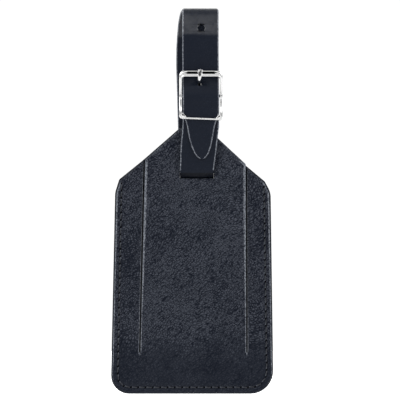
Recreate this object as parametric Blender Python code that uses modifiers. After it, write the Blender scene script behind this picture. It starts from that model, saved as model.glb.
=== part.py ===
"""Leather luggage tag: an address card behind a privacy flap, hung by a buckled strap.

The tag hangs in the XZ plane and faces -Y. The origin is the inside top of the strap's loop,
where a bag's handle carries it. Each piece of leather, metal, thread and card is its own object.
"""
import math

import bmesh
import bpy
from mathutils import Matrix, Vector

MM = 0.001

# leather body: each hand-cut outline as corners (x, z, radius) in mm, from the bottom right, anticlockwise;
# the back layer shows a little beyond the front one
BACK_CORNERS = [
    (32.1, -168.4, 10.0), (30.9, -79.8, 8.0), (28.3, -75.0, 1.5), (2.2, -53.1, 3.0),
    (-8.6, -51.0, 3.0), (-25.3, -65.6, 0.0), (-35.8, -74.1, 1.5), (-37.6, -79.8, 8.0), (-39.5, -168.4, 8.0),
]
FRONT_CORNERS = [
    (31.5, -168.1, 9.6), (30.2, -80.1, 7.6), (27.8, -75.5, 1.5), (20.6, -69.3, 0.0), (20.85, -150.15, 0.0),
    (-27.15, -150.15, 0.0), (-25.1, -66.2, 0.0), (-35.2, -74.5, 1.5), (-36.9, -80.1, 7.6), (-38.85, -168.1, 7.6),
]
FLAP_CORNERS = [
    (20.05, -149.85, 0.0), (19.8, -67.4, 0.0), (2.2, -51.0, 3.0),
    (-8.4, -51.6, 3.0), (-24.3, -65.6, 0.0), (-26.35, -149.85, 0.0),
]
TAG_X = -3.5 * MM              # the tag's middle; the strap's loop stands a little to its right
LEATHER = 1.4 * MM
FRONT_Y = -1.8 * MM
POCKET_FRONT_Y = FRONT_Y + LEATHER
BACK_PANEL_FRONT_Y = 0.5 * MM
BACK_Y = BACK_PANEL_FRONT_Y + LEATHER
FIT = 0.3 * MM                 # air between pieces that touch on the real tag

# the privacy flap hinges where its two slits end
HINGE_Z = -150.0 * MM
HINGE_Y = FRONT_Y - 1.0 * MM

# strap slot through flap and back panel
SLOT_X = -1.6 * MM
SLOT_Z = -72.6 * MM
SLOT_HEIGHT = 3.0 * MM
SLOT_LENGTH = 15.8 * MM
SLOT_RADIUS = 0.8 * MM

# address card and its pocket
CARD_WIDTH = 54.0 * MM
CARD_HEIGHT = 84.0 * MM
CARD_THICKNESS = 0.4 * MM
POCKET_BOTTOM_Z = -163.2 * MM
POCKET_HALF_WIDTH = CARD_WIDTH / 2 + 1.2 * MM
POCKET_TOP_Z = -50.0 * MM

# seam
SEAM_CORNERS = [(-34.7, -75.9, 0.0), (-36.45, -165.5, 5.0), (29.15, -165.5, 7.0), (27.9, -77.4, 0.0)]
THREAD_RADIUS = 0.35 * MM
GROOVE_RADIUS = 0.65 * MM

# strap
STRAP_WIDTH = 15.9 * MM
STRAP_THICKNESS = 1.3 * MM
SLOT_PINCH = 0.55 * MM         # the slot draws each of the strap's edges in by this much
PINCH_REACH = 9.0 * MM
TAIL_SHAPE = [                 # the free end: distance from its tip and half width there, in mm
    (0.0, 0.4), (0.3, 1.1), (0.8, 1.8), (2.4, 3.05), (5.5, 4.25), (9.7, 5.25), (14.8, 6.15), (17.2, 6.9), (20.0, 7.95),
]
HOLE_RADIUS = 1.6 * MM
HOLE_Z = (-7.8 * MM, -31.8 * MM)
HOLE_X = (0.3 * MM, -0.5 * MM)
STATION = 0.7 * MM             # spacing of the strap's cross lines

# buckle
BUCKLE_X = 0.2 * MM
BAR_Y = -4.4 * MM
BAR_Z = -37.6 * MM
BAR_RADIUS = 0.7 * MM
FRAME_HALF_WIDTH = 9.6 * MM
FRAME_TOP_Z = -26.5 * MM
FRAME_BOTTOM_Z = -48.3 * MM
FRAME_RADIUS = 2.6 * MM
OPENING_HALF_WIDTH = 8.3 * MM
OPENING_TOP_Z = -29.5 * MM
OPENING_BOTTOM_Z = -47.4 * MM
OPENING_RADIUS = 1.3 * MM
CRANK_SHARE = 0.74             # share of each arm's length in which it comes forward from the bar
TOP_SIDE_Y = -8.15 * MM
TOP_SIDE_THICKNESS = 2.0 * MM
BOTTOM_SIDE_Y = -8.55 * MM
BOTTOM_SIDE_THICKNESS = 1.1 * MM
ARM_THICKNESS = 1.8 * MM

# prong, bent from wire and hooked round the bar
PRONG_X = -0.5 * MM
PRONG_RADIUS = 0.85 * MM
PRONG_HOOK = BAR_RADIUS + 0.12 * MM + PRONG_RADIUS
PRONG_GAP = 3.6 * MM           # width of the slit in the strap's fold

# stitches that close the strap's fold
FOLD_STITCH_Z = -49.6 * MM
FOLD_STITCH_X = (-4.2 * MM, -1.4 * MM, 1.4 * MM, 4.2 * MM)
FOLD_THREAD_RADIUS = 0.2 * MM


def clear_scene():
    for old in list(bpy.data.objects):
        bpy.data.objects.remove(old, do_unlink=True)


def collection(name):
    made = bpy.data.collections.new(name)
    bpy.context.scene.collection.children.link(made)
    return made


def material(name, colour, roughness, metallic=0.0):
    made = bpy.data.materials.new(name)
    made.use_nodes = True
    surface = made.node_tree.nodes["Principled BSDF"]
    surface.inputs["Base Color"].default_value = (*colour, 1.0)
    surface.inputs["Roughness"].default_value = roughness
    surface.inputs["Metallic"].default_value = metallic
    return made


def add(name, mesh, group, finish=None):
    """A mesh in world places becomes a named object with its material."""
    made = bpy.data.objects.new(name, mesh)
    group.objects.link(made)
    if finish:
        mesh.materials.append(finish)
    return made


def put_origin(piece, point):
    """Moves a piece's origin to a point, such as one on its joint's axis, and leaves its shape in place."""
    piece.data.transform(Matrix.Translation(-Vector(point)))
    piece.location = point


def hang(piece, axis):
    """A piece keeps its place and from now on follows the empty on its joint's axis."""
    piece.parent = axis
    piece.matrix_parent_inverse = Matrix.Translation(-axis.location)


def joint_empty(name, point, group):
    made = bpy.data.objects.new(name, None)
    made.empty_display_size = 5 * MM
    made.location = point
    group.objects.link(made)
    return made


def mesh_of_curve(curve_object):
    """The curve's evaluated mesh in world places, with its caps welded on; the curve is removed."""
    bpy.context.view_layer.update()
    evaluated = curve_object.evaluated_get(bpy.context.evaluated_depsgraph_get())
    mesh = bpy.data.meshes.new_from_object(evaluated)
    mesh.transform(curve_object.matrix_world)
    bpy.data.objects.remove(curve_object, do_unlink=True)
    work = bmesh.new()
    work.from_mesh(mesh)
    bmesh.ops.remove_doubles(work, verts=work.verts, dist=0.01 * MM)
    bmesh.ops.recalc_face_normals(work, faces=work.faces)
    work.to_mesh(mesh)
    work.free()
    return mesh


def plate(outline, holes, front, back):
    """A flat piece cut to an outline in XZ, with holes, between two depths."""
    curve = bpy.data.curves.new("outline", "CURVE")
    curve.dimensions = "2D"
    curve.fill_mode = "BOTH"
    curve.extrude = (back - front) / 2
    for loop in [outline, *holes]:
        spline = curve.splines.new("POLY")
        spline.points.add(len(loop) - 1)
        spline.use_cyclic_u = True
        for point, (x, z) in zip(spline.points, loop):
            point.co = (x, z, 0, 1)
    flat = bpy.data.objects.new("outline", curve)
    bpy.context.scene.collection.objects.link(flat)
    flat.rotation_euler.x = math.radians(90)
    flat.location.y = (front + back) / 2
    return mesh_of_curve(flat)


def tube(route, radius):
    """A round bar, wire or thread along a route of world points."""
    curve = bpy.data.curves.new("route", "CURVE")
    curve.dimensions = "3D"
    curve.bevel_depth = radius
    curve.bevel_resolution = 2
    curve.use_fill_caps = True
    spline = curve.splines.new("POLY")
    spline.points.add(len(route) - 1)
    for point, place in zip(spline.points, route):
        point.co = (*place, 1)
    run = bpy.data.objects.new("route", curve)
    bpy.context.scene.collection.objects.link(run)
    return mesh_of_curve(run)


def round_corner(before, corner, after, radius, steps=6):
    """The points of an arc that rounds one corner of an outline."""
    a = (Vector(before) - Vector(corner)).normalized()
    b = (Vector(after) - Vector(corner)).normalized()
    half = a.angle(b) / 2
    reach = radius / math.tan(half)
    centre = Vector(corner) + (a + b).normalized() * (radius / math.sin(half))
    start = (Vector(corner) + a * reach - centre).normalized()
    end = (Vector(corner) + b * reach - centre).normalized()
    return [tuple(centre + start.slerp(end, i / steps) * radius) for i in range(steps + 1)]


def rounded(corners, radii, is_closed=True):
    """An outline of straight edges with each corner rounded by its own radius (0 keeps it sharp)."""
    points = []
    count = len(corners)
    for i, (corner, radius) in enumerate(zip(corners, radii)):
        at_end = not is_closed and i in (0, count - 1)
        if radius == 0 or at_end:
            points.append(corner)
        else:
            points += round_corner(corners[i - 1], corner, corners[(i + 1) % count], radius)
    return points


def cut_line(corners, is_closed=True):
    """An outline in metres from a list of corners (x, z, radius) in mm."""
    return rounded([(x * MM, z * MM) for x, z, _ in corners], [radius * MM for _, _, radius in corners], is_closed)


def strap_slot():
    left = SLOT_X - SLOT_LENGTH / 2
    right = SLOT_X + SLOT_LENGTH / 2
    low = SLOT_Z - SLOT_HEIGHT / 2
    high = SLOT_Z + SLOT_HEIGHT / 2
    corners = [(left, low), (right, low), (right, high), (left, high)]
    return rounded(corners, [SLOT_RADIUS] * 4)


def back_panel(group, finish):
    """The back layer, cut whole, with the strap's slot."""
    mesh = plate(cut_line(BACK_CORNERS), [strap_slot()], BACK_PANEL_FRONT_Y, BACK_Y)
    return add("back_panel", mesh, group, finish)


def front_panel(group, finish, cutters):
    """The front layer's side strips and bottom band, hollowed behind for the card."""
    mesh = plate(cut_line(FRONT_CORNERS), [], FRONT_Y, BACK_PANEL_FRONT_Y - FIT)
    piece = add("front_panel", mesh, group, finish)
    left = TAG_X - POCKET_HALF_WIDTH
    right = TAG_X + POCKET_HALF_WIDTH
    opening = [(left, POCKET_BOTTOM_Z), (right, POCKET_BOTTOM_Z), (right, POCKET_TOP_Z), (left, POCKET_TOP_Z)]
    cut(piece, "pocket_cutter", plate(opening, [], POCKET_FRONT_Y, BACK_Y), cutters)
    return piece


def privacy_flap(group, finish):
    """The middle of the front layer, between the slits; it folds down on its hinge."""
    mesh = plate(cut_line(FLAP_CORNERS), [strap_slot()], FRONT_Y, POCKET_FRONT_Y)
    piece = add("privacy_flap", mesh, group, finish)
    put_origin(piece, (TAG_X, HINGE_Y, HINGE_Z))
    return piece


def address_card(group, finish):
    left = TAG_X - CARD_WIDTH / 2
    right = TAG_X + CARD_WIDTH / 2
    low = POCKET_BOTTOM_Z + FIT
    high = low + CARD_HEIGHT
    middle = (POCKET_FRONT_Y + BACK_PANEL_FRONT_Y) / 2
    outline = rounded([(left, low), (right, low), (right, high), (left, high)], [3 * MM] * 4)
    mesh = plate(outline, [], middle - CARD_THICKNESS / 2, middle + CARD_THICKNESS / 2)
    piece = add("address_card", mesh, group, finish)
    put_origin(piece, (TAG_X, middle, low))
    return piece


def seam_route(depth):
    """The seam runs down one side, along the bottom and up the other, inside the edge."""
    return [(x, depth, z) for x, z in cut_line(SEAM_CORNERS, is_closed=False)]


def seam(name, panel, depth, group, finish, cutters):
    """One thread of the lockstitch, lying in a groove that its tension presses into the leather."""
    route = seam_route(depth)
    beyond = [(x, y, z + GROOVE_RADIUS) for x, y, z in (route[0], route[-1])]
    groove = tube([beyond[0], *route[1:-1], beyond[1]], GROOVE_RADIUS)
    cut(panel, name + "_groove_cutter", groove, cutters)
    return add(name, tube(route, THREAD_RADIUS), group, finish)


def cut(piece, name, mesh, cutters):
    """Takes a cutter's shape out of a piece."""
    cutter = add(name, mesh, cutters)
    cutter.hide_render = True
    cutter.display_type = "WIRE"
    boolean = piece.modifiers.new(name, "BOOLEAN")
    boolean.operation = "DIFFERENCE"
    boolean.solver = "EXACT"
    boolean.object = cutter
    return cutter


def arc(centre, radius, start, end, x, steps):
    """Points round an X axis; the angle is 0 at the top and grows towards the front."""
    y, z = centre
    turns = [math.radians(start + (end - start) * i / steps) for i in range(steps + 1)]
    return [(x, y - radius * math.sin(a), z + radius * math.cos(a)) for a in turns]


def strap_route():
    """The strap's middle line from the end sewn behind the fold to the pointed free end."""
    wrap = BAR_RADIUS + 0.15 * MM + STRAP_THICKNESS / 2
    slot_turn = 2.8 * MM
    fold_end = [(0.2, -3.5, -52.0), (0.2, -3.55, -47.4), (0.2, -3.35, -41.9)]
    lower_run = [(0.2, -5.3, -42.4), (0.2, -5.2, -46.9), (0.1, -5.1, -50.9), (-0.8, -4.1, -60.3)]
    rear_run = [
        (-1.8, 3.5, -62.3), (-2.0, 4.5, -50.3), (-2.4, 5.8, -35.0), (-2.8, 6.7, -22.0), (-2.5, 6.7, -12.0),
    ]
    loop_top = [(-1.8, 5.2, -4.2), (-0.9, 2.6, -0.5), (-0.1, 0.0, 0.65), (0.0, -2.5, -0.6), (0.0, -4.5, -4.2)]
    upper_run = [(0.0, -6.5, -10.0), (0.0, -6.75, -13.0), (0.0, -6.6, -20.0), (0.1, -6.2, -27.4), (0.1, -6.5, -31.9)]
    free_end = [
        (0.2, -8.05, -37.6), (0.2, -7.5, -43.4), (0.2, -7.05, -48.9), (0.2, -6.15, -56.4), (0.6, -4.95, -65.4),
    ]

    def metres(points):
        return [tuple(v * MM for v in point) for point in points]

    return (
        metres(fold_end)
        + arc((BAR_Y, BAR_Z), wrap, -95, 95, 0.2 * MM, 10)
        + metres(lower_run)
        + arc((0, -70.3 * MM), slot_turn, 100, 260, SLOT_X, 10)
        + metres(rear_run + loop_top + upper_run + free_end)
    )


def smooth_line(points, spacing):
    """A Catmull-Rom line through points, read at an even spacing."""
    keys = [Vector(p) for p in points]
    keys = [keys[0] * 2 - keys[1], *keys, keys[-1] * 2 - keys[-2]]
    fine = []
    for p0, p1, p2, p3 in zip(keys, keys[1:], keys[2:], keys[3:]):
        k1 = (p1 - p0).length ** 0.5
        k2 = k1 + (p2 - p1).length ** 0.5
        k3 = k2 + (p3 - p2).length ** 0.5
        for i in range(12):
            k = k1 + (k2 - k1) * i / 12
            a1 = p0.lerp(p1, k / k1)
            a2 = p1.lerp(p2, (k - k1) / (k2 - k1))
            a3 = p2.lerp(p3, (k - k2) / (k3 - k2))
            b1 = a1.lerp(a2, k / k2)
            b2 = a2.lerp(a3, (k - k1) / (k3 - k1))
            fine.append(b1.lerp(b2, (k - k1) / (k2 - k1)))
    fine.append(keys[-2])
    length = sum((b - a).length for a, b in zip(fine, fine[1:]))
    count = max(2, round(length / spacing))
    line = [fine[0]]
    gone = 0.0
    for a, b in zip(fine, fine[1:]):
        step = (b - a).length
        while len(line) < count and gone + step >= len(line) * length / count:
            line.append(a.lerp(b, (len(line) * length / count - gone) / step))
        gone += step
    line.append(fine[-1])
    return line


def strap_half_width(place, from_tip):
    """The free end narrows to a rounded point, and the slot draws the edges in."""
    for (near, narrow), (far, wide) in zip(TAIL_SHAPE, TAIL_SHAPE[1:]):
        if from_tip < far * MM:
            share = max(0.0, (from_tip / MM - near) / (far - near))
            return (narrow + (wide - narrow) * share) * MM
    away = (place.z - SLOT_Z) / PINCH_REACH
    return STRAP_WIDTH / 2 - SLOT_PINCH * math.exp(-away * away)


def strap(group, finish, cutters):
    """One length of leather: round the buckle's bar, through the slot, over the handle and back."""
    line = smooth_line(strap_route(), STATION)
    line = [*line[:-1], line[-2].lerp(line[-1], 0.7), line[-1]]
    work = bmesh.new()
    from_tip = sum((b - a).length for a, b in zip(line, line[1:]))
    edge = None
    for here, there in zip(line, [*line[1:], line[-1]]):
        half = Vector((strap_half_width(here, from_tip), 0, 0))
        new_edge = (work.verts.new(here - half), work.verts.new(here + half))
        if edge:
            work.faces.new((edge[0], edge[1], new_edge[1], new_edge[0]))
        edge = new_edge
        from_tip -= (there - here).length
    mesh = bpy.data.meshes.new("strap")
    work.to_mesh(mesh)
    work.free()
    piece = add("strap", mesh, group, finish)
    thick = piece.modifiers.new("thickness", "SOLIDIFY")
    thick.thickness = STRAP_THICKNESS
    thick.offset = 0
    thick.use_even_offset = True

    front = -12 * MM
    for number, (x, z) in enumerate(zip(HOLE_X, HOLE_Z)):
        hole = tube([(x, front, z), (x, -2.5 * MM, z)], HOLE_RADIUS)
        cut(piece, f"hole_cutter_{number + 1}", hole, cutters)
    gap = [(PRONG_X - PRONG_GAP / 2, BAR_Y, BAR_Z), (PRONG_X + PRONG_GAP / 2, BAR_Y, BAR_Z)]
    cut(piece, "prong_gap_cutter", tube(gap, PRONG_HOOK + PRONG_RADIUS + 0.18 * MM), cutters)
    for number, x in enumerate(FOLD_STITCH_X):
        stitch_hole = tube(
            [(x, BAR_Y - 1.85 * MM, FOLD_STITCH_Z), (x, BAR_Y + 2.2 * MM, FOLD_STITCH_Z)],
            FOLD_THREAD_RADIUS + 0.2 * MM,
        )
        cut(piece, f"stitch_cutter_{number + 1}", stitch_hole, cutters)
    return piece


def fold_thread(group, finish):
    """A running stitch across the fold: front, through, back, through, front."""
    front = BAR_Y - 1.67 * MM
    back = BAR_Y + 1.85 * MM
    a, b, c, d = FOLD_STITCH_X
    depths = [(a, back - 1.2 * MM), (a, front), (b, front), (b, back), (c, back), (c, front), (d, front)]
    depths.append((d, back - 1.2 * MM))
    route = [(x, y, FOLD_STITCH_Z) for x, y in depths]
    return add("fold_thread", tube(route, FOLD_THREAD_RADIUS), group, finish)


def frame_loop(half, low, high, radius_low, radius_high, side_steps=8):
    """A rounded rectangle with the same number of points on each stretch, so two loops pair up."""
    corners = [(half, low), (half, high), (-half, high), (-half, low)]
    radii = [radius_low, radius_high, radius_high, radius_low]
    arcs = [
        round_corner(corners[i - 1], corners[i], corners[(i + 1) % 4], radii[i])
        for i in range(4)
    ]
    points = []
    for i, here in enumerate(arcs):
        there = arcs[(i + 1) % 4]
        points += here
        start = Vector(here[-1])
        end = Vector(there[0])
        points += [tuple(start.lerp(end, s / side_steps)) for s in range(1, side_steps)]
    return points


def frame_depth(z):
    """Depth of the frame's middle: the arms dip back to carry the bar behind the strap."""
    side = TOP_SIDE_Y if z > BAR_Z else BOTTOM_SIDE_Y
    reach = (FRAME_TOP_Z if z > BAR_Z else FRAME_BOTTOM_Z) - BAR_Z
    share = min(1.0, (z - BAR_Z) / (reach * CRANK_SHARE))
    return BAR_Y + (side - BAR_Y) * math.sin(share * math.pi / 2) ** 1.6


def frame_thickness(z):
    if z > BAR_Z:
        share = min(1.0, (z - BAR_Z) / (OPENING_TOP_Z - BAR_Z))
        return ARM_THICKNESS + (TOP_SIDE_THICKNESS - ARM_THICKNESS) * share
    share = min(1.0, (z - BAR_Z) / (OPENING_BOTTOM_Z - BAR_Z))
    return ARM_THICKNESS + (BOTTOM_SIDE_THICKNESS - ARM_THICKNESS) * share ** 3


def buckle_frame(group, finish, cutters):
    """A die-cast frame whose section changes all the way round, with its centre bar cast in."""
    outer = frame_loop(FRAME_HALF_WIDTH, FRAME_BOTTOM_Z, FRAME_TOP_Z, 1.6 * MM, FRAME_RADIUS)
    inner = frame_loop(OPENING_HALF_WIDTH, OPENING_BOTTOM_Z, OPENING_TOP_Z, 1.3 * MM, OPENING_RADIUS)
    section = 10
    work = bmesh.new()
    rings = []
    for (xo, zo), (xi, zi) in zip(outer, inner):
        x, z = (xo + xi) / 2, (zo + zi) / 2
        ring = []
        for k in range(section):
            turn = math.tau * (k + 0.5) / section
            across = math.cos(turn)
            deep = math.sin(turn)
            ring.append(work.verts.new((
                BUCKLE_X + x + (xo - xi) / 2 * across,
                frame_depth(z) + frame_thickness(z) / 2 * deep,
                z + (zo - zi) / 2 * across,
            )))
        rings.append(ring)
    for ring, after in zip(rings, [*rings[1:], rings[0]]):
        for k in range(section):
            k2 = (k + 1) % section
            work.faces.new((ring[k], ring[k2], after[k2], after[k]))
    bmesh.ops.recalc_face_normals(work, faces=work.faces)
    mesh = bpy.data.meshes.new("buckle_frame")
    work.to_mesh(mesh)
    work.free()
    piece = add("buckle_frame", mesh, group, finish)
    reach = (FRAME_HALF_WIDTH + OPENING_HALF_WIDTH) / 2
    ends = [(BUCKLE_X - reach, BAR_Y, BAR_Z), (BUCKLE_X + reach, BAR_Y, BAR_Z)]
    bar = add("centre_bar_joined", tube(ends, BAR_RADIUS), cutters)
    bar.hide_render = True
    bar.display_type = "WIRE"
    join = piece.modifiers.new("centre_bar", "BOOLEAN")
    join.operation = "UNION"
    join.solver = "EXACT"
    join.object = bar
    put_origin(piece, (BUCKLE_X, BAR_Y, BAR_Z))
    return piece


def prong(group, finish):
    """Wire hooked round the bar, led through the strap's hole and laid over the top side."""
    hook = arc((BAR_Y, BAR_Z), PRONG_HOOK, 60, 300, PRONG_X, 14)
    shank = [
        (-0.5, -4.3, -33.8), (-0.5, -6.3, -31.9), (-0.5, -8.4, -31.3), (-0.45, -9.85, -30.0), (-0.4, -10.15, -28.2),
        (-0.3, -10.05, -26.5),
    ]
    route = hook + [tuple(v * MM for v in point) for point in shank]
    line = smooth_line(route, 0.5 * MM)
    piece = add("prong", tube(line, PRONG_RADIUS), group, finish)
    put_origin(piece, (BUCKLE_X, BAR_Y, BAR_Z))
    return piece


def main():
    clear_scene()
    parts = collection("luggage_tag")
    cutters = collection("cutters")
    leather = material("navy_leather", (0.020, 0.023, 0.031), 0.42)
    strap_leather = material("navy_strap_leather", (0.018, 0.021, 0.028), 0.38)
    thread = material("navy_thread", (0.010, 0.011, 0.016), 0.6)
    nickel = material("polished_nickel", (0.78, 0.77, 0.75), 0.12, 1.0)
    card = material("card_stock", (0.86, 0.85, 0.80), 0.7)

    back = back_panel(parts, leather)
    front = front_panel(parts, leather, cutters)
    flap = privacy_flap(parts, leather)
    insert = address_card(parts, card)
    top_thread = seam("seam_thread", front, FRONT_Y - 0.05 * MM, parts, thread, cutters)
    under_thread = seam("bobbin_thread", back, BACK_Y + 0.05 * MM, parts, thread, cutters)
    strap(parts, strap_leather, cutters)
    fold_thread(parts, thread)
    frame = buckle_frame(parts, nickel, cutters)
    tongue = prong(parts, nickel)

    tag_swing = joint_empty("tag_swing_axis", (TAG_X, 0, SLOT_Z + SLOT_HEIGHT / 2), parts)
    buckle_turn = joint_empty("buckle_turn_axis", (BUCKLE_X, BAR_Y, BAR_Z), parts)
    for piece in (back, front, flap, insert, top_thread, under_thread):
        hang(piece, tag_swing)
    for piece in (frame, tongue):
        hang(piece, buckle_turn)
    for piece in parts.objects:
        if piece.type == "MESH":
            piece.data.shade_smooth()
            piece.data.set_sharp_from_angle(angle=math.radians(35))


main()
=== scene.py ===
import math
import random

import bmesh
import bpy
import numpy as np
from mathutils import Matrix, Vector, noise


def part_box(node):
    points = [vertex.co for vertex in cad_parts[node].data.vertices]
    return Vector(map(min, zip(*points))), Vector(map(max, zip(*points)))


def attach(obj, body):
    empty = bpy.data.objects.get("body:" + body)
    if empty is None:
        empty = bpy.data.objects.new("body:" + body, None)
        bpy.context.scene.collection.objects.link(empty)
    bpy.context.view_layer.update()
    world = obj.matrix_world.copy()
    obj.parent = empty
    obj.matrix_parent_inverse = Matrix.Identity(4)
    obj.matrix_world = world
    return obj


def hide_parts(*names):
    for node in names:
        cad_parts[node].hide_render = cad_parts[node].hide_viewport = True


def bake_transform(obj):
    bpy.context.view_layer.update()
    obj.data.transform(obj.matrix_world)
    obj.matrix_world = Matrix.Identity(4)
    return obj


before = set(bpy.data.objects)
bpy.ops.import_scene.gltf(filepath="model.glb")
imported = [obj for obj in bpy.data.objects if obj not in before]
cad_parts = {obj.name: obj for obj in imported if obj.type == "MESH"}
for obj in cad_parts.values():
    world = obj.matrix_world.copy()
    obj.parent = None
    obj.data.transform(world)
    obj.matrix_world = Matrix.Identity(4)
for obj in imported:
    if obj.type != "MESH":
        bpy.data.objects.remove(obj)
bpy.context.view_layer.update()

MM = 0.001

# --- Camera -----------------------------------------------------------------------------------
# A product view straight at the front of the hanging tag, from a long lens a little below its
# middle, with the tag filling the picture's height.
tag_low, tag_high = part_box("back_panel")
loop_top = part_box("strap")[1].z
eye_distance = 1500 * MM
eye_lift = math.radians(1.5)
view_width = 176 * MM
aim = Vector((-0.22 * MM, 0, (tag_low.z + loop_top) / 2 + 0.35 * MM))
lens = bpy.data.cameras.new("long_lens")
lens.sensor_width = 36.0
lens.lens = lens.sensor_width * eye_distance / view_width
eye = bpy.data.objects.new("product_camera", lens)
bpy.context.scene.collection.objects.link(eye)
eye.location = aim + Vector((0, -math.cos(eye_lift), -math.sin(eye_lift))) * eye_distance
eye.rotation_euler = (math.radians(90) + eye_lift, 0, 0)
bpy.context.scene.camera = eye
bpy.context.scene.view_settings.view_transform = "Standard"


# --- Back panel -------------------------------------------------------------------------------
# The rear layer of the body: dyed leather cut with a steel rule, with the strap's slot punched
# through it. It shows as a dark edge round the front layer, to which it is sewn.
class Socket:
    """A shader value that can be added, multiplied and so on like a number."""

    def __init__(self, shader, output):
        self.shader = shader
        self.output = output

    def _math(self, operation, *values):
        return self.shader.node("ShaderNodeMath", {"operation": operation}, *values)

    def __add__(self, other):
        return self._math("ADD", self, other)

    def __radd__(self, other):
        return self._math("ADD", other, self)

    def __sub__(self, other):
        return self._math("SUBTRACT", self, other)

    def __rsub__(self, other):
        return self._math("SUBTRACT", other, self)

    def __mul__(self, other):
        return self._math("MULTIPLY", self, other)

    def __rmul__(self, other):
        return self._math("MULTIPLY", other, self)

    def __truediv__(self, other):
        return self._math("DIVIDE", self, other)

    def size(self):
        return self._math("ABSOLUTE", self)

    def between(self, low, high):
        """0 at low, 1 at high and smooth in between; low may be the larger."""
        settings = {"interpolation_type": "SMOOTHSTEP"}
        ends = {"Value": self, "From Min": low, "From Max": high}
        return self.shader.node("ShaderNodeMapRange", settings, **ends)


class Shader:
    """A material's nodes, made one call at a time."""

    def __init__(self, name):
        self.material = bpy.data.materials.new(name)
        self.material.use_nodes = True
        self.tree = self.material.node_tree
        self.surface = self.tree.nodes["Principled BSDF"]

    def _feed(self, entry, value):
        if isinstance(value, Socket):
            self.tree.links.new(value.output, entry)
        else:
            entry.default_value = value

    def node(self, kind, settings=None, *values, output=0, **named):
        """Any node: its settings, then its sockets in order or by name."""
        made = self.tree.nodes.new(kind)
        for key, value in (settings or {}).items():
            setattr(made, key, value)
        for number, value in enumerate(values):
            self._feed(made.inputs[number], value)
        for key, value in named.items():
            self._feed(made.inputs[key], value)
        return Socket(self, made.outputs[output])

    def place(self):
        return self.node("ShaderNodeTexCoord", output="Object")

    def plus(self, vector, other, share):
        scaled = self.node("ShaderNodeVectorMath", {"operation": "SCALE"}, other, Scale=share)
        return self.node("ShaderNodeVectorMath", {"operation": "ADD"}, vector, scaled)

    def stretched(self, vector, turn, *scale):
        """The pattern turned in its own plane and then drawn out along its new axes."""
        settings = {"vector_type": "TEXTURE"}
        turned = (0, 0, math.radians(turn))
        return self.node("ShaderNodeMapping", settings, Vector=vector, Rotation=turned, Scale=scale)

    def noise(self, vector, scale, detail=2.0, roughness=0.5, output="Fac"):
        named = {"Vector": vector, "Scale": scale, "Detail": detail, "Roughness": roughness}
        return self.node("ShaderNodeTexNoise", output=output, **named)

    def mixed(self, share, first, second):
        colours = [value if isinstance(value, Socket) else (*value, 1) for value in (first, second)]
        made = self.node("ShaderNodeMix", {"data_type": "RGBA"}, share, output=2)
        for entry, value in zip(made.output.node.inputs[6:8], colours):
            self._feed(entry, value)
        return made

    def bump(self, height, depth, strength=1.0):
        return self.node("ShaderNodeBump", Height=height, Distance=depth, Strength=strength)

    def finish(self, **entries):
        for key, value in entries.items():
            entry = self.surface.inputs[key.replace("_", " ")]
            self._feed(entry, (*value, 1) if isinstance(value, tuple) else value)
        return self.material


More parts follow.
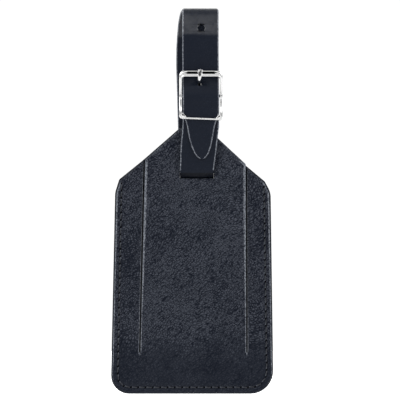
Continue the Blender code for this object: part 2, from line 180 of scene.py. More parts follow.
def leather(name, dark, light, grain, calm=None, burnished=None):
    """Dyed leather: pebbles and drawn creases that run up to the right, and pale fibrous cut edges.

    calm is a place (x, z) and its reach, where the grain fades; burnished is the height above which
    the leather is rubbed shiny. The "cut" attribute is 1 on a cut edge and below 0 where shade is painted
    into a hollow.
    """
    dye = Shader(name)
    place = dye.place()
    upright = dye.node("ShaderNodeMapping", Vector=place, Rotation=(math.radians(-90), 0, 0))
    wander = dye.noise(upright, 42.0, 1.0, output="Color")
    jitter = dye.noise(upright, 700.0, 1.0, output="Color")
    skin = dye.plus(dye.plus(upright, wander, 11 * MM), jitter, 0.30 * MM)
    pebble = dye.node(
        "ShaderNodeTexVoronoi", {"feature": "DISTANCE_TO_EDGE"},
        Vector=dye.stretched(skin, 34, 1.7, 1, 1), Scale=1350.0, Randomness=1.0,
    )
    drawn = dye.noise(dye.stretched(skin, 40, 6.0, 1, 1), 1000.0, 1.0)
    speck = dye.noise(upright, 1900.0, 1.0)
    folds = (drawn - 0.5).size().between(0.0, 0.09)
    crown = (pebble.between(0.04, 0.34) * 0.75 + folds * 0.38) * speck.between(0.12, 0.58)
    patch = dye.noise(upright, 75.0, 2.0)
    strength = patch.between(0.25, 0.6) * 0.35 + 0.65
    tone_and_painted_light = 0.0
    if calm:
        (x, z), (reach_x, reach_z) = calm
        spot = dye.node(
            "ShaderNodeMapping", {"vector_type": "TEXTURE"},
            Vector=place, Location=(x, 0, z), Scale=(reach_x, 1, reach_z),
        )
        away = dye.node("ShaderNodeVectorMath", {"operation": "LENGTH"}, spot, output="Value")
        rough = (away + (patch - 0.5) * 0.25).between(0.45, 1.35)
        strength = strength * (rough * 0.75 + 0.25)
        # the calm place is rubbed paler, and the side strips, which sit back from the flap, are darkened
        # with painted shade
        across = dye.node("ShaderNodeSeparateXYZ", None, place) + 3.3 * MM
        strip_shade = across.size().between(22.0 * MM, 25.0 * MM) * rough
        tone_and_painted_light = 0.18 - rough * 0.20 - strip_shade * 0.14
    relief = crown * strength * grain
    cloud = dye.noise(upright, 40.0, 2.0)
    tone = dye.mixed(relief * 1.7 - 0.16 + (cloud - 0.5) * 0.25 + tone_and_painted_light, dark, light)
    fibre = dye.noise(place, 1500.0, 2.0, 0.7)
    rim = dye.node("ShaderNodeAttribute", {"attribute_name": "cut"}, output="Fac")
    pale = (rim * (fibre * 2.4 - 0.4)).between(0.08, 0.50)
    edge = dye.mixed(fibre.between(0.35, 0.65), (0.062, 0.070, 0.088), (0.210, 0.225, 0.255))
    # painted shade: where "cut" is below 0 the colour goes nearly black
    face = dye.mixed(rim.between(-0.2, -0.8), tone, (0.0012, 0.0014, 0.0022))
    height = relief + fibre * pale * 0.8
    polish = 0.0
    if burnished:
        up = dye.node("ShaderNodeSeparateXYZ", None, place, output=2) + (cloud - 0.5) * 4 * MM
        polish = up.between(burnished - 0.6 * MM, burnished + 0.6 * MM) * rim.between(-0.5, 0.0)
        polish = polish * (dye.noise(place, 420.0, 3.0, 0.7).between(0.30, 0.58) * 0.45 + 0.50)
    return dye.finish(
        Base_Color=dye.mixed(pale, face, edge),
        Roughness=(cloud - 0.5) * 0.12 + pale * 0.25 + 0.45,
        Normal=dye.bump(height, 0.12 * MM),
        Specular_IOR_Level=0.12,
        Coat_Weight=polish,
        Coat_Roughness=0.26,
    )


def rounded_face(work, corners):
    """A flat face in XZ from its corners (x, z, radius) in mm, rounded; returns its outline."""
    verts = [work.verts.new((x * MM, 0, z * MM)) for x, z, radius in corners]
    work.faces.new(verts)
    for vert, (x, z, radius) in zip(verts, corners):
        if radius:
            one, other = [edge.other_vert(vert).co - vert.co for edge in vert.link_edges]
            bmesh.ops.bevel(
                work, geom=[vert], affect="VERTICES", offset=radius * MM / math.tan(one.angle(other) / 2),
                offset_type="OFFSET", segments=9, profile=0.5, material=-1,
            )
    work.faces.ensure_lookup_table()
    return [(vert.co.x, vert.co.z) for vert in work.faces[0].verts]


def ring_lines(work):
    """Four lines inside the outline, which let the edge roll off and turn pale."""
    for width in (0.25, 0.25, 0.40, 0.55):
        bmesh.ops.inset_region(
            work, faces=[work.faces[0]], thickness=width * MM, use_boundary=True, use_even_offset=True,
        )
        work.faces.ensure_lookup_table()


def score(work, point, normal):
    """Cuts the whole mesh along a plane, so that it can bend there."""
    geometry = work.verts[:] + work.edges[:] + work.faces[:]
    bmesh.ops.bisect_plane(work, geom=geometry, plane_co=point, plane_no=normal, dist=1e-7)


def score_grid(work, low, high, spacing):
    """Even lines across and up a sheet, between two corners (x, z)."""
    for axis, along in ((0, (1, 0, 0)), (1, (0, 0, 1))):
        count = round((high[axis] - low[axis]) / spacing)
        for i in range(1, count):
            at = low[axis] + (high[axis] - low[axis]) * i / count
            score(work, [part * at for part in along], along)


def punch_slot(work):
    """Takes the strap's slot out of a flat sheet."""
    for x in slot_sides:
        score(work, (x, 0, 0), (1, 0, 0))
    for z in slot_heights:
        score(work, (0, 0, z), (0, 0, 1))
    gone = []
    for face in work.faces:
        middle = face.calc_center_median()
        if slot_sides[0] < middle.x < slot_sides[1] and slot_heights[0] < middle.z < slot_heights[1]:
            gone.append(face)
    bmesh.ops.delete(work, geom=gone, context="FACES")


def thicken(work, front, back, butts=None):
    """A flat sheet becomes a slab between two depths; its rims are broken, but not where it butts."""
    bmesh.ops.translate(work, verts=work.verts, vec=(0, front, 0))
    raised = bmesh.ops.extrude_face_region(work, geom=work.faces[:])
    moved = [part for part in raised["geom"] if isinstance(part, bmesh.types.BMVert)]
    bmesh.ops.translate(work, verts=moved, vec=(0, back - front, 0))
    bmesh.ops.recalc_face_normals(work, faces=work.faces)
    rims = []
    for edge in work.edges:
        flat = abs(edge.verts[0].co.y - edge.verts[1].co.y) < 1e-6
        kept = butts is not None and all(abs(vert.co.z - butts) < 1e-5 for vert in edge.verts)
        if flat and not kept and edge.calc_face_angle(0) > math.radians(50):
            rims.append(edge)
    bmesh.ops.bevel(
        work, geom=rims, affect="EDGES", offset=0.14 * MM, offset_type="OFFSET", segments=2, profile=0.5,
        material=-1, clamp_overlap=False,
    )
    bmesh.ops.triangulate(work, faces=[face for face in work.faces if len(face.verts) > 4])
    bmesh.ops.dissolve_degenerate(work, dist=0.01 * MM, edges=work.edges)


def finished(name, work, *materials):
    """The bmesh becomes an object at the origin with its materials, shaded smooth."""
    mesh = bpy.data.meshes.new(name)
    work.to_mesh(mesh)
    work.free()
    made = bpy.data.objects.new(name, mesh)
    bpy.context.scene.collection.objects.link(made)
    for item in materials:
        mesh.materials.append(item)
    mesh.shade_smooth()
    return made


def read_points(mesh):
    points = np.empty(len(mesh.vertices) * 3)
    mesh.vertices.foreach_get("co", points)
    return points.reshape(-1, 3)


def write_points(mesh, points):
    mesh.vertices.foreach_set("co", points.ravel())
    mesh.update()


def away_from(line, x, z):
    """Distance of every point from a line of (x, z) corners."""
    nearest = np.full(len(x), 1.0)
    for (ax, az), (bx, bz) in zip(line, line[1:]):
        length = (bx - ax) ** 2 + (bz - az) ** 2
        if length > 0:
            share = np.clip(((x - ax) * (bx - ax) + (z - az) * (bz - az)) / length, 0, 1)
            nearest = np.minimum(nearest, np.hypot(x - ax - share * (bx - ax), z - az - share * (bz - az)))
    return nearest


def smooth(value, low, high):
    share = np.clip((value - low) / (high - low), 0, 1)
    return share * share * (3 - 2 * share)


def mark_cut(mesh, values):
    mark = mesh.attributes.new("cut", "FLOAT", "POINT")
    mark.data.foreach_set("value", np.clip(values, 0, 1).astype(np.float32))


seam_corners = [
    Vector((-34.7, -75.9)), Vector((-36.45, -165.5)), Vector((29.15, -165.5)), Vector((27.9, -77.4)),
]


def seam_path():
    """The stitched line, down the left side, along the bottom and up the right, in metres."""
    points = [seam_corners[0]]
    triples = zip(seam_corners, seam_corners[1:], seam_corners[2:], (5.0, 7.0))
    for before, corner, after, radius in triples:
        a, b = (before - corner).normalized(), (after - corner).normalized()
        half = a.angle(b) / 2
        centre = corner + (a + b).normalized() * (radius / math.sin(half))
        start = (corner + a * radius / math.tan(half) - centre).normalized()
        end = (corner + b * radius / math.tan(half) - centre).normalized()
        points += [centre + start.slerp(end, i / 12) * radius for i in range(13)]
    return [tuple(point * MM) for point in [*points, seam_corners[3]]]


seam_line = seam_path()
seam_dent, seam_swell = 0.24, 0.06


def score_seam(work):
    """Close lines either side of the seam, where its pull dents the leather."""
    for offset in (-1.5, -1.0, -0.6, -0.25, 0.0, 0.25, 0.6, 1.0, 1.5):
        for a, b in zip(seam_corners, seam_corners[1:]):
            run = (b - a).normalized()
            side = Vector((run.y, 0, -run.x))
            score(work, Vector((a.x, 0, a.y)) * MM + side * offset * MM, side)


def pulled_in(x, z):
    """How far the seam draws the surface in; the leather swells a little either side of it."""
    away = away_from(seam_line, x, z) / MM
    swell = seam_swell * np.exp(-((away - 2.0) / 1.0) ** 2)
    return (seam_dent * np.exp(-(away / 0.7) ** 2) - swell) * MM


slot_sides = (-9.05 * MM, 5.85 * MM)
slot_heights = (-73.78 * MM, -71.1 * MM)
back_front, back_rear = tag_low.y, tag_high.y
panel_leather = leather(
    "navy_panel_leather", (0.0018, 0.0038, 0.0098), (0.049, 0.055, 0.071), 1.0,
    calm=((4 * MM, -168 * MM), (85 * MM, 27 * MM)),
)
back_leather = leather("navy_back_leather", (0.0020, 0.0036, 0.0085), (0.030, 0.035, 0.048), 0.7)

work = bmesh.new()
outline = rounded_face(work, [
    (32.1, -168.4, 10.0), (30.9, -79.8, 8.0), (28.3, -75.0, 1.5), (2.2, -53.1, 3.0), (-8.6, -51.0, 3.0),
    (-25.3, -65.6, 0.0), (-35.8, -74.1, 1.5), (-37.6, -79.8, 8.0), (-39.5, -168.4, 8.0),
])
ring_lines(work)
score_grid(work, (-39.5 * MM, -168.4 * MM), (32.1 * MM, -50 * MM), 3.2 * MM)
score_seam(work)
punch_slot(work)
thicken(work, back_front, back_rear)
back_panel = finished("back_panel_leather", work, back_leather)
points = read_points(back_panel.data)
x, y, z = points.T
edge_gap = away_from([*outline, outline[0]], x, z) / MM
behind = (y - back_front) / (back_rear - back_front)
rolled = (behind - 0.5) * 0.3 * MM * (1 - smooth(edge_gap, 0, 0.8))
points[:, 1] -= np.clip(behind, 0, 1) * pulled_in(x, z) + rolled
write_points(back_panel.data, points)
mark_cut(back_panel.data, (1 - edge_gap / 0.3) * 0.35)
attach(back_panel, "tag")
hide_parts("back_panel")


# --- Front panel ------------------------------------------------------------------------------
# The front layer's two side strips and bottom band, cut in one, a little smaller than the back
# layer. Its edges are left raw, and the strips' inner edges sink towards the card behind.
front_low, front_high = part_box("front_panel")
front_face, front_rear = front_low.y, front_high.y
flap_rear = front_face + 1.4 * MM
hinge_z = -150.2
butt_z = -151.6          # where flap and band are one hide on the real tag
slit_left = ((-24.7, -65.6), (-26.75, hinge_z))
slit_right = ((20.2, -67.4), (20.45, hinge_z))

work = bmesh.new()
outline = rounded_face(work, [
    (31.5, -168.1, 9.6), (30.2, -80.1, 7.6), (27.8, -75.5, 1.5), (20.6, -69.3, 0.0),
    (20.75, hinge_z, 0.0), (20.05, hinge_z, 0.0), (20.05, butt_z, 0.0), (-26.35, butt_z, 0.0),
    (-26.35, hinge_z, 0.0), (-27.05, hinge_z, 0.0),
    (-25.1, -66.2, 0.0), (-35.2, -74.5, 1.5), (-36.9, -80.1, 7.6), (-38.85, -168.1, 7.6),
])
ring_lines(work)
score_grid(work, (-38.85 * MM, -168.1 * MM), (31.5 * MM, -66 * MM), 2.6 * MM)
score_seam(work)
thicken(work, front_face, front_rear, butt_z * MM)
front_panel = finished("front_panel_leather", work, panel_leather)
points = read_points(front_panel.data)
x, y, z = points.T
opening_low, opening_high, opening_left, opening_right = -152 * MM, -80 * MM, -28 * MM, 21.5 * MM
# the outline without its opening, from the top of the left side round to the top of the right
outer = []
for px, pz in outline:
    if not (opening_left < px < opening_right and opening_low < pz < opening_high):
        outer.append((px, pz))
top_left = next(
    i for i, (px, pz) in enumerate(outer) if px < 0 and outer[i - 1][0] > 0 and pz > opening_high
)
outer_gap = away_from(outer[top_left:] + outer[:top_left], x, z) / MM
free_edges = [[(a * MM, b * MM) for a, b in ends] for ends in (slit_left, slit_right)]
slit_gap = np.minimum(away_from(free_edges[0], x, z), away_from(free_edges[1], x, z)) / MM - 0.3
depth = (y - front_face) / (front_rear - front_face)
open_behind = smooth(outer_gap, 4.4, 6.0)
depth_back = 1 - open_behind * (1 - (flap_rear - front_face) / (front_rear - front_face))
free = smooth(z, hinge_z * MM, (hinge_z + 30) * MM)
rolled = (1 - smooth(outer_gap, 0, 0.8)) * 0.3 + (1 - smooth(slit_gap, 0, 0.7)) * 0.15
sunk = 0.30 * (1 - smooth(slit_gap, 0, 6.5)) * free
points[:, 1] = front_face + depth * depth_back * (front_rear - front_face)
points[:, 1] += (1 - depth) * (pulled_in(x, z) + rolled * MM) + sunk * MM
write_points(front_panel.data, points)
sides = smooth(z, -163 * MM, -150 * MM) * 0.30 + smooth(z, -120 * MM, -85 * MM) * 0.35
below_shoulder = 1 - 0.9 * smooth(z, -76.5 * MM, -74.5 * MM)
pale_outer = (1 - outer_gap / (0.22 + sides)) * smooth(z, -166 * MM, -158 * MM) * below_shoulder
pale_slit = (1 - slit_gap / np.where(x < 0, 0.36, 0.30))
mark_cut(front_panel.data, np.maximum(pale_outer, pale_slit))
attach(front_panel, "tag")
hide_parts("front_panel")


# --- Privacy flap -----------------------------------------------------------------------------
# The middle of the front hide, freed by two slits. It stands a little proud of the strips, its
# pale cut edges rolled towards the front, and it bends down where the slits end.
work = bmesh.new()
outline = rounded_face(work, [
    (20.05, butt_z, 0.0), (20.05, hinge_z, 0.0), (19.85, -67.4, 0.0), (2.2, -51.0, 3.0),
    (-8.4, -51.6, 3.0), (-24.3, -65.6, 0.0), (-26.35, hinge_z, 0.0), (-26.35, butt_z, 0.0),
])
ring_lines(work)
score_grid(work, (-26.35 * MM, butt_z * MM), (20.05 * MM, -51 * MM), 2.4 * MM)
score_grid(work, (0, butt_z * MM), (0, (butt_z + 8) * MM), 0.5 * MM)
punch_slot(work)
thicken(work, front_face, flap_rear, butt_z * MM)
flap = finished("privacy_flap_leather", work, panel_leather)
points = read_points(flap.data)
x, y, z = points.T
upper = [point for point in outline if point[1] > butt_z * MM + 0.2 * MM]
lowest_right = next(i for i, point in enumerate(upper) if point[0] > 0 and point[1] < -140 * MM)
upper = upper[lowest_right:] + upper[:lowest_right]
edge_gap = away_from(upper, x, z) / MM
up = smooth(z, hinge_z * MM, (hinge_z + 35) * MM)
held = np.exp(-((x + 1.6 * MM) / (15 * MM)) ** 2 - ((z + 63 * MM) / (22 * MM)) ** 2)
depth = (y - front_face) / (flap_rear - front_face)
points[:, 1] -= 0.5 * MM * up * (1 - held)
rolled = (1 - smooth(edge_gap, 0, 0.75)) * smooth(z, hinge_z * MM, (hinge_z + 6) * MM)
points[:, 1] += (0.5 - depth) * 0.45 * MM * rolled
write_points(flap.data, points)
width = 0.50 + 0.90 * smooth(z, -150 * MM, -78 * MM)
shoulder = np.where(z > -66 * MM, 0.3, 1.0)
freed = np.where(z < (hinge_z + 0.05) * MM, 0, 1)
mark_cut(flap.data, (1 - edge_gap / width) * shoulder * freed)
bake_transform(flap)
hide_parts("privacy_flap")


# --- Seam -------------------------------------------------------------------------------------
# A lockstitch in waxed navy thread. Each stitch dips into a slanting needle hole at both ends, has a
# painted highlight where it comes up, and lies in the dent that its own pull makes. Each needle hole
# is a small dark ellipsoid of painted shade.
stitch_pitch = 3.2 * MM
thread_radius = 0.27 * MM
rng = random.Random(4)


def needle_places():
    """Evenly spaced needle holes along the seam."""
    runs = [(Vector(a), Vector(b)) for a, b in zip(seam_line, seam_line[1:])]
    length = sum((b - a).length for a, b in runs)
    count = round(length / stitch_pitch)
    holes = [runs[0][0]]
    gone = 0.0
    for a, b in runs:
        step = (b - a).length
        while len(holes) < count and gone + step >= len(holes) * length / count:
            holes.append(a.lerp(b, (len(holes) * length / count - gone) / step))
        gone += step
    return holes + [runs[-1][1]]


def thread_piece(length):
    """A humped length of thread along Z, its ends dipping towards -Y, with a painted highlight on its lower
    end.
    """
    pattern = bmesh.new()
    half = length * 0.47
    bmesh.ops.create_cone(
        pattern, segments=7, radius1=thread_radius, radius2=thread_radius, depth=2 * half, cap_ends=True,
    )
    for share in (-0.8, -0.5, 0.0, 0.5, 0.8):
        score(pattern, (0, 0, share * half), (0, 0, 1))
    painted_highlight = pattern.verts.layers.float.new("painted_highlight")
    for vert in pattern.verts:
        share = vert.co.z / half
        fat = 1.0 - 0.35 * share ** 4
        # painted highlight: the lower end of the stitch is marked to turn paler
        vert[painted_highlight] = max(0.0, -share - 0.35) * 2
        vert.co.x *= fat
        vert.co.y = vert.co.y * fat + 0.14 * MM - 0.60 * MM * share ** 4
    mesh = bpy.data.meshes.new("thread_piece")
    pattern.to_mesh(mesh)
    pattern.free()
    return mesh


def needle_hole():
    """A small slanting ellipsoid at the surface, dark with painted shade, that stands for a needle hole."""
    pattern = bmesh.new()
    bmesh.ops.create_uvsphere(pattern, u_segments=10, v_segments=5, radius=1.0)
    bmesh.ops.scale(pattern, verts=pattern.verts, vec=(0.46 * MM, 0.14 * MM, 0.72 * MM))
    mesh = bpy.data.meshes.new("needle_hole")
    pattern.to_mesh(mesh)
    pattern.free()
    return mesh


def set_along(work, pattern, middle, along, outward, turn):
    """A copy of a pattern with its Z along the seam and its Y out of the leather."""
    side = Vector((0, outward, 0))
    basis = Matrix((side.cross(along), side, along)).transposed().to_4x4()
    tilt = Matrix.Rotation(math.radians(turn), 4, side)
    before = len(work.verts)
    work.from_mesh(pattern)
    work.verts.ensure_lookup_table()
    bmesh.ops.transform(work, matrix=Matrix.Translation(middle) @ tilt @ basis, verts=work.verts[before:])


waxed = Shader("navy_thread")
twist = waxed.node("ShaderNodeMapping", Vector=waxed.place(), Rotation=(0, math.radians(35), 0))
ply = waxed.node("ShaderNodeTexWave", {"bands_direction": "Z"}, Vector=twist, Scale=480.0)
fuzz = waxed.noise(waxed.place(), 3500.0)
tone_and_painted_light = waxed.node("ShaderNodeAttribute", {"attribute_name": "painted_highlight"}, output="Fac")
strand = waxed.mixed(ply * 0.7 + fuzz * 0.3, (0.004, 0.005, 0.009), (0.017, 0.021, 0.030))
# painted highlight: the stitch's lower end is mixed towards a pale blue-grey
waxed.finish(
    Base_Color=waxed.mixed(tone_and_painted_light, strand, (0.085, 0.097, 0.120)),
    Roughness=0.45 + fuzz * 0.2,
    Normal=waxed.bump(ply + fuzz * 0.4, 0.08 * MM, 0.7),
)
# painted shade: the needle holes are near black, with a faint mottle
needle_hole_shade = Shader("needle_hole_painted_shade")
shade_mottle = needle_hole_shade.noise(needle_hole_shade.place(), 3000.0)
needle_hole_shade.finish(
    Base_Color=needle_hole_shade.mixed(shade_mottle, (0.001, 0.001, 0.002), (0.003, 0.004, 0.005)),
    Roughness=0.95,
    Specular_IOR_Level=0.05,
)

needle_marks = needle_places()
stitch = thread_piece((needle_marks[1] - needle_marks[0]).length)
hole_shade_mark = needle_hole()
dent = seam_dent * MM
for name, node, surface, outward in (
    ("front", "seam_thread", front_face + dent, -1), ("back", "bobbin_thread", back_rear - dent, 1),
):
    threads = bmesh.new()
    hole_shade_marks = bmesh.new()
    for a, b in zip(needle_marks, needle_marks[1:]):
        along = Vector((b.x - a.x, 0, b.y - a.y)).normalized()
        middle = Vector((a.x + b.x, 0, a.y + b.y)) / 2 + Vector((0, surface, 0))
        set_along(threads, stitch, middle, along, outward, 7 * outward + rng.uniform(-2, 2))
    for mark in needle_marks:
        lean = 35 * outward + rng.uniform(-9, 9)
        place = Vector((mark.x + rng.uniform(-0.1, 0.1) * MM, surface + outward * 0.02 * MM, mark.y))
        set_along(hole_shade_marks, hole_shade_mark, place, Vector((0, 0, 1)), outward, lean)
    made = finished(f"seam_stitches_{name}", threads, waxed.material)
    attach(made, "tag")
    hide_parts(node)
    made = finished(f"seam_needle_hole_shade_{name}", hole_shade_marks, needle_hole_shade.material)
    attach(made, "tag")


# --- Address card -----------------------------------------------------------------------------
# A printed card behind the flap, held by the side strips: a dark border all round, and a pale
# field with ruled lines to write on.
card_low, card_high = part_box("address_card")
stock = Shader("card_stock")
card_place = stock.place()
across = stock.node("ShaderNodeSeparateXYZ", None, card_place)
up_card = stock.node("ShaderNodeSeparateXYZ", None, card_place, output=2)
side_border, foot_border, head_border, rule_inset = 7 * MM, 16 * MM, 8 * MM, 11 * MM
first_row, row_height = card_low.z + 18 * MM, 9.5 * MM
blur = 0.2 * MM


def inside(value, low, high):
    """1 between two places on the card, with a slightly blurred end at both."""
    return value.between(low, low + blur) * value.between(high, high - blur)


field = inside(across, card_low.x + side_border, card_high.x - side_border)
field = field * inside(up_card, card_low.z + foot_border, card_high.z - head_border)
row = stock.node("ShaderNodeMath", {"operation": "FRACT"}, (up_card - first_row) / row_height)
rule = inside(across, card_low.x + rule_inset, card_high.x - rule_inset)
rule = rule * (row - 0.5).size().between(0.024, 0.014)
pulp = stock.noise(card_place, 1500.0, 3.0)
writing = stock.mixed(rule, stock.mixed(pulp, (0.72, 0.70, 0.64), (0.82, 0.80, 0.74)), (0.10, 0.12, 0.17))
border = stock.mixed(pulp, (0.006, 0.007, 0.011), (0.011, 0.013, 0.018))
stock.finish(
    Base_Color=stock.mixed(field, border, writing),
    Roughness=0.72 + pulp * 0.1,
    Normal=stock.bump(pulp, 0.03 * MM, 0.4),
)
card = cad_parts["address_card"]
card.data.materials.clear()
card.data.materials.append(stock.material)


# --- Strap ------------------------------------------------------------------------------------
# One length of smooth leather with raw pale edges: sewn round the buckle's bar, led through the
# slot, over the handle and back through the buckle to its pointed end. The holes are punched.
def whole_copy(node):
    """A merged copy of a CAD node's mesh, as a bmesh."""
    copied = bmesh.new()
    copied.from_mesh(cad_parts[node].data)
    bmesh.ops.remove_doubles(copied, verts=copied.verts, dist=0.004 * MM)
    return copied


strap_leather = leather(
    "navy_strap_leather", (0.0060, 0.0088, 0.0165), (0.024, 0.030, 0.044), 0.2, burnished=-10.6 * MM,
)
free_hole, prong_hole = Vector((0.3, 0, -7.8)) * MM, Vector((-0.5, 0, -31.8)) * MM
prong_clear = 3.2 * MM
under_top_side, under_prong_hook = -29 * MM, -46 * MM
slot_bend = -70 * MM
work = whole_copy("strap")
bmesh.ops.dissolve_limit(work, angle_limit=math.radians(0.4), verts=work.verts, edges=work.edges)
rims = []
for edge in work.edges:
    middle = (edge.verts[0].co + edge.verts[1].co) / 2
    beside_prong = abs(middle.x - prong_hole.x) < prong_clear
    round_prong = beside_prong and under_prong_hook < middle.z < under_top_side
    in_slot = middle.z < slot_bend
    if edge.calc_face_angle(0) > math.radians(60) and not round_prong and not in_slot:
        rims.append(edge)
bmesh.ops.bevel(
    work, geom=rims, affect="EDGES", offset=0.55 * MM, offset_type="OFFSET", segments=4, profile=0.5,
    material=-1, clamp_overlap=False,
)
bmesh.ops.triangulate(work, faces=[face for face in work.faces if len(face.verts) > 4])
cut = work.verts.layers.float.new("cut")
# painted shade: the hole walls and the strap's turn inside the slot get a "cut" value below 0, which the
# leather paints nearly black
for vert in work.verts:
    sideways = [abs(face.normal.x) for face in vert.link_faces]
    by_hole = min(math.hypot(vert.co.x - hole.x, vert.co.z - hole.z) for hole in (free_hole, prong_hole))
    if by_hole < 1.35 * MM and vert.co.y < 0:
        vert[cut] = -1.0            # a hole's wall is in the dark
    elif vert.co.z < -71.2 * MM:
        vert[cut] = -0.55           # and so is the turn inside the slot
    elif by_hole > 2.1 * MM and min(sideways) > 0.08:
        vert[cut] = 1.0
        frayed = noise.noise(vert.co * 1400.0) * 0.09 * MM
        vert.co.x += math.copysign(frayed, vert.normal.x)
for vert in work.verts:
    near_top = max(0.0, (vert.co.z - loop_top) / (1.8 * MM) + 1)
    vert.co.x *= 1 - 0.045 * near_top ** 2
strap = finished("strap_leather", work, strap_leather)
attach(strap, "strap")
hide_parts("strap")

fold_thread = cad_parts["fold_thread"]
fold_thread.data.materials.clear()
fold_thread.data.materials.append(waxed.material)


# --- Buckle -----------------------------------------------------------------------------------
# A die-cast frame, polished and nickel plated: a deep domed top side with a bead round the
# opening, slim arms that dip back to the centre bar, and a thin bottom side with corner webs.
plate = Shader("polished_nickel")
plate_place = plate.place()
haze = plate.noise(plate_place, 900.0, 3.0, 0.6)
scratch = plate.noise(plate.stretched(plate_place, 20, 12, 1, 1), 3000.0)
wire_shade_mask = plate.node("ShaderNodeAttribute", {"attribute_name": "wire_shade_in_hole"}, output="Fac")
polished = plate.mixed(haze, (0.72, 0.72, 0.72), (0.86, 0.86, 0.86))
# painted shade: the prong's wire inside the strap's hole is given a near-black colour
plate.finish(
    Base_Color=plate.mixed(wire_shade_mask, polished, (0.02, 0.02, 0.02)),
    Metallic=1.0,
    Roughness=0.08 + haze * 0.05 + scratch.between(0.60, 0.75) * 0.05,
    Normal=plate.bump(scratch, 0.01 * MM, 0.25),
)
buckle_x, bar_y, bar_z = 0.2, -4.4, -37.6
frame_outer = (9.6, -48.3, -26.5, 1.6, 2.6)          # half width, bottom, top, lower and upper corner radius
frame_inner = (8.3, -47.4, -29.5, 1.3, 1.3)
top_depth, bottom_depth = -8.15, -8.55
bottom_lean = 0.35                                   # the bottom side hangs lower on its right


def frame_line(half, low, high, low_radius, high_radius):
    """A rounded rectangle, with as many points on each stretch as any other of its kind."""
    points = []
    for x, z, radius, start in (
        (half, low, low_radius, -90), (half, high, high_radius, 0),
        (-half, high, high_radius, 90), (-half, low, low_radius, 180),
    ):
        cx, cz = x - math.copysign(radius, x), z + (radius if z == low else -radius)
        for i in range(9):
            turn = math.radians(start + 90 * i / 8)
            points.append(Vector((cx + radius * math.cos(turn), cz + radius * math.sin(turn))))
    full = []
    for i, (a, b) in enumerate(zip(points, points[1:] + points[:1])):
        full.append(a)
        if i % 9 == 8:
            full += [a.lerp(b, s / 14) for s in range(1, 14)]
    return full


def frame_depth(z):
    """Depth of the frame's middle: the arms dip back to carry the bar behind the strap."""
    side, end = (top_depth, frame_outer[2]) if z > bar_z else (bottom_depth, frame_outer[1])
    share = min(1.0, (z - bar_z) / ((end - bar_z) * 0.74))
    return bar_y + (side - bar_y) * math.sin(share * math.pi / 2) ** 1.6


def frame_thickness(z):
    if z > bar_z:
        return 1.8 + 0.2 * min(1.0, (z - bar_z) / (frame_inner[2] - bar_z))
    return 1.8 - 0.7 * min(1.0, (z - bar_z) / (frame_inner[1] - bar_z)) ** 3


# across the frame from the opening's edge (0) to the outside (1), and forward (-1) to back (1)
bead_and_dome = [
    (0.02, 0.1), (0.02, -0.45), (0.09, -0.85), (0.19, -0.95), (0.28, -0.80), (0.34, -0.55), (0.44, -0.68),
    (0.58, -0.78), (0.74, -0.66), (0.88, -0.36), (0.98, 0.05), (0.97, 0.5), (0.8, 0.9), (0.5, 1.0),
    (0.2, 0.9), (0.03, 0.5),
]
work = bmesh.new()
rings = []
for outer_point, inner_point in zip(frame_line(*frame_outer), frame_line(*frame_inner)):
    middle = (outer_point + inner_point) / 2
    ring = []
    for share, rise in bead_and_dome:
        spot = inner_point.lerp(outer_point, share)
        if middle.y > frame_inner[2] - 0.5 and 0.34 <= share <= 0.9:
            flat = max(0.0, min(1.0, (7.6 - abs(middle.x)) / 1.5))      # the top side, but not its corners
            rise += (-0.62 - rise) * flat
        sag = -bottom_lean * (spot.x / 9.0) * max(0.0, min(1.0, (bar_z - middle.y) / 9.0))
        rear = 0.70 if middle.y > bar_z else 0.15                       # its back keeps off the strap
        depth = frame_depth(middle.y) + frame_thickness(middle.y) / 2 * min(rise, rear)
        ring.append(work.verts.new(Vector((buckle_x + spot.x, depth, spot.y + sag)) * MM))
    rings.append(ring)
for ring, after in zip(rings, rings[1:] + rings[:1]):
    for k in range(len(ring)):
        k2 = (k + 1) % len(ring)
        work.faces.new((ring[k], ring[k2], after[k2], after[k]))
bmesh.ops.recalc_face_normals(work, faces=work.faces)
bar_radius, bar_length = 0.7 * MM, 17.9 * MM
bar = bmesh.ops.create_cone(
    work, segments=16, radius1=bar_radius, radius2=bar_radius, depth=bar_length, cap_ends=True,
)
to_bar = Matrix.Translation(Vector((buckle_x, bar_y, bar_z)) * MM)
bmesh.ops.transform(work, matrix=to_bar @ Matrix.Rotation(math.radians(90), 4, "Y"), verts=bar["verts"])
web_depths = (-8.98, -8.42)
web_corners = ((8.75, -47.6), (8.75, -45.3), (8.1, -45.6), (6.7, -47.0), (6.3, -47.6))
for side in (-1, 1):
    web = []
    for depth in web_depths:
        web.append([
            work.verts.new(Vector((buckle_x + side * x, depth, z - side * bottom_lean)) * MM)
            for x, z in web_corners
        ])
    faces = [work.faces.new(web[0]), work.faces.new(web[1][::-1])]
    faces += [
        work.faces.new((web[0][i], web[1][i], web[1][(i + 1) % 5], web[0][(i + 1) % 5])) for i in range(5)
    ]
    bmesh.ops.recalc_face_normals(work, faces=faces)
    web_edges = {edge for face in faces for edge in face.edges}
    sharp = [edge for edge in web_edges if edge.calc_face_angle(0) > 0.5]
    bmesh.ops.bevel(
        work, geom=sharp, affect="EDGES", offset=0.15 * MM, offset_type="OFFSET", segments=2, profile=0.5,
        material=-1,
    )
buckle = finished("buckle_frame_nickel", work, plate.material)
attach(buckle, "buckle")
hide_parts("buckle_frame")


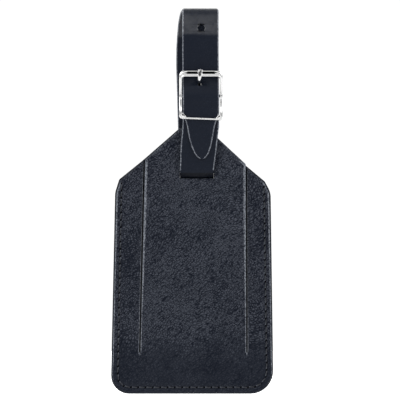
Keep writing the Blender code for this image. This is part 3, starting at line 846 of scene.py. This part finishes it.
# --- Prong ------------------------------------------------------------------------------------
# Nickel plated wire hooked round the bar; where it lies on the top side its end is pressed flat
# and wider, with a groove down the middle.
hole_front, hole_back = -7.3 * MM, -4.9 * MM         # between them the wire is in the strap's hole
wire_x, pressed_x = -0.45 * MM, 0.20 * MM            # the wire's middle, and how far its end goes over
groove_depth, groove_width = 0.42 * MM, 0.20 * MM
work = whole_copy("prong")
bmesh.ops.subdivide_edges(work, edges=work.edges[:], cuts=1, use_grid_fill=True)
wire_shade_in_hole = work.verts.layers.float.new("wire_shade_in_hole")
# painted shade: mark the part of the wire that lies inside the strap's hole
for vert in work.verts:
    vert[wire_shade_in_hole] = 1.0 if hole_front < vert.co.y < hole_back else 0.0
    pressed = max(0.0, min(1.0, (vert.co.z / MM + 30.6) / 2.2)) if vert.co.y < -7.2 * MM else 0.0
    off = vert.co.x - wire_x
    vert.co.x = wire_x + pressed_x * pressed + off * (1 + 0.42 * pressed)
    if vert.co.y < -8.6 * MM:
        vert.co.y += groove_depth * math.exp(-(off / groove_width) ** 2) * pressed
prong = finished("prong_nickel", work, plate.material)
polish = prong.modifiers.new("polish", "SUBSURF")
polish.levels = 1
polish.render_levels = 1
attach(prong, "prong")
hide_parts("prong")


# --- Floor and light --------------------------------------------------------------------------
# A wide pale floor well under the tag, and a white surround: bright to both sides and in a band
# above, dark straight before the tag, with soft lights from the upper left and the right.
work = bmesh.new()
floor_half, floor_drop = 6.0, 90 * MM
bmesh.ops.create_grid(work, x_segments=2, y_segments=2, size=floor_half)
bmesh.ops.translate(work, verts=work.verts, vec=(0, 0, tag_low.z - floor_drop))
sweep = Shader("pale_floor")
behind = sweep.node("ShaderNodeSeparateXYZ", None, sweep.place(), output=1).between(0.3, 1.6)
sweep.finish(
    Base_Color=sweep.mixed(sweep.noise(sweep.place(), 8.0), (0.86, 0.86, 0.86), (0.88, 0.88, 0.88)),
    Roughness=0.9,
    Emission_Color=sweep.mixed(behind, (0.0, 0.0, 0.0), (1.0, 1.0, 1.0)),
    Emission_Strength=0.9,
)
floor = finished("floor", work, sweep.material)

world = bpy.data.worlds.new("surround")
bpy.context.scene.world = world
world.use_nodes = True
sky = world.node_tree


def sky_part(kind, **settings):
    made = sky.nodes.new(kind)
    for key, value in settings.items():
        setattr(made, key, value)
    return made


def ramp(source, low, high, to_low, to_high):
    made = sky_part("ShaderNodeMapRange", interpolation_type="SMOOTHSTEP")
    for key, value in (("From Min", low), ("From Max", high), ("To Min", to_low), ("To Max", to_high)):
        made.inputs[key].default_value = value
    sky.links.new(source, made.inputs["Value"])
    return made.outputs["Result"]


def combine(operation, first, second):
    made = sky_part("ShaderNodeMath", operation=operation)
    for entry, value in zip(made.inputs, (first, second)):
        if isinstance(value, float):
            entry.default_value = value
        else:
            sky.links.new(value, entry)
    return made.outputs[0]


direction = sky_part("ShaderNodeSeparateXYZ")
sky.links.new(sky_part("ShaderNodeTexCoord").outputs["Generated"], direction.inputs[0])
to_side = combine("ABSOLUTE", direction.outputs["X"], 0.0)
upward = direction.outputs["Z"]
sides_on = combine("SUBTRACT", ramp(to_side, 0.42, 0.62, 0.05, 1.15), ramp(to_side, 0.84, 0.97, 0.0, 0.75))
band_on = combine("SUBTRACT", ramp(upward, 0.24, 0.38, 0.0, 1.15), ramp(upward, 0.76, 0.92, 0.0, 0.85))
glow = combine("ADD", sides_on, band_on)
backdrop = 1.05
choose = sky_part("ShaderNodeMix")
choose.inputs["B"].default_value = backdrop
sky.links.new(sky_part("ShaderNodeLightPath").outputs["Is Camera Ray"], choose.inputs["Factor"])
sky.links.new(glow, choose.inputs["A"])
sky.links.new(choose.outputs["Result"], sky.nodes["Background"].inputs["Strength"])
sky.nodes["Background"].inputs["Color"].default_value = (1, 1, 1, 1)


def softbox(name, place, size, watts):
    lamp = bpy.data.lights.new(name, "AREA")
    lamp.shape = "RECTANGLE"
    lamp.size, lamp.size_y = size
    lamp.energy = watts
    made = bpy.data.objects.new(name, lamp)
    bpy.context.scene.collection.objects.link(made)
    made.location = place
    made.rotation_euler = (aim - Vector(place)).to_track_quat("-Z", "Y").to_euler()


softbox("upper_left_light", (-0.45, -0.35, 0.45), (0.4, 0.4), 1.0)
softbox("right_light", (0.60, -0.20, 0.00), (0.3, 0.6), 0.25)
